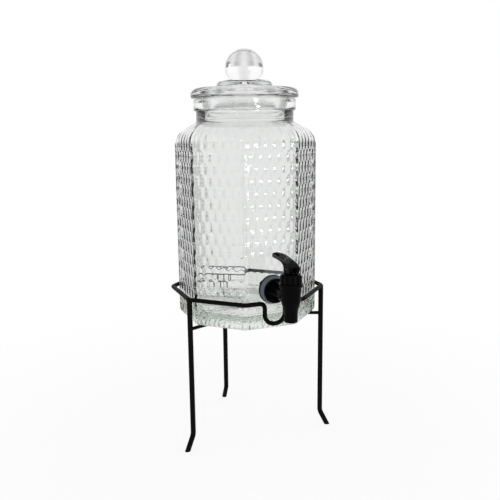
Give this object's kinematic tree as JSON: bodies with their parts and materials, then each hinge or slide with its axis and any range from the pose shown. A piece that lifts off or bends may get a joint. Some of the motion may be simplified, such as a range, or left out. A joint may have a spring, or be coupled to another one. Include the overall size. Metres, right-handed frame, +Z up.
{
  "type": "beverage dispenser",
  "caption": "Faceted textured glass drinks jar with a domed knob lid and a black lever tap, standing in a splayed black wire stand.",
  "frame": {"origin": "middle of the part's footprint box on the floor, between the feet and the tap", "axes": "+Z up along the jar, -Y towards the tap, +X to the right of someone facing the tap"},
  "size_m": [0.189, 0.2316, 0.4574],
  "materials": {
    "clear_glass": "gloss",
    "black_wire": "satin",
    "black_plastic": "gloss",
    "black_rubber": "matte",
    "grey_rubber": "satin",
    "clear_silicone": "satin",
    "spring_steel": "satin"
  },
  "bodies": {
    "stand": {"stand_ring": "black_wire", "stand_leg_left": "black_wire", "stand_leg_right": "black_wire", "stand_leg_rear": "black_wire", "stand_cross_wire": "black_wire", "stand_rear_wire": "black_wire"},
    "jar": {"glass_jar": "clear_glass", "tap_outer_washer": "black_rubber", "tap_gasket": "grey_rubber", "tap_inner_washer": "black_rubber", "tap_lock_nut": "black_plastic", "tap_body": "black_plastic", "tap_bonnet": "black_plastic", "stem_o_ring": "black_rubber", "return_spring": "spring_steel"},
    "lid": {"glass_lid": "clear_glass", "lid_seal_ring": "clear_silicone"},
    "valve": {"valve_stem": "black_plastic", "valve_seal": "clear_silicone"},
    "lever": {"tap_lever": "black_plastic", "lever_pin": "spring_steel"}
  },
  "joints": [
    {"name": "jar_lift", "type": "slide", "parent": "stand", "child": "jar", "axis": [0, 0, 1], "range_m": [0, 0.1]},
    {"name": "lid_lift", "type": "slide", "parent": "jar", "child": "lid", "axis": [0, 0, 1], "range_m": [0, 0.12]},
    {"name": "valve_lift", "type": "slide", "parent": "jar", "child": "valve", "axis": [0, 0, 1], "range_m": [0, 0.004], "stiffness_N_per_m": 250, "springref_m": -0.012, "deforming": ["return_spring"]},
    {"name": "lever_flip", "type": "hinge", "parent": "valve", "child": "lever", "pos_m": [0, -0.10453, 0.2254], "axis": [1, 0, 0], "range_deg": [0, 90]}
  ],
  "couplings": [
    {"joint": "valve_lift", "follows": "lever_flip", "m_per_rad": 0.0025465}
  ]
}
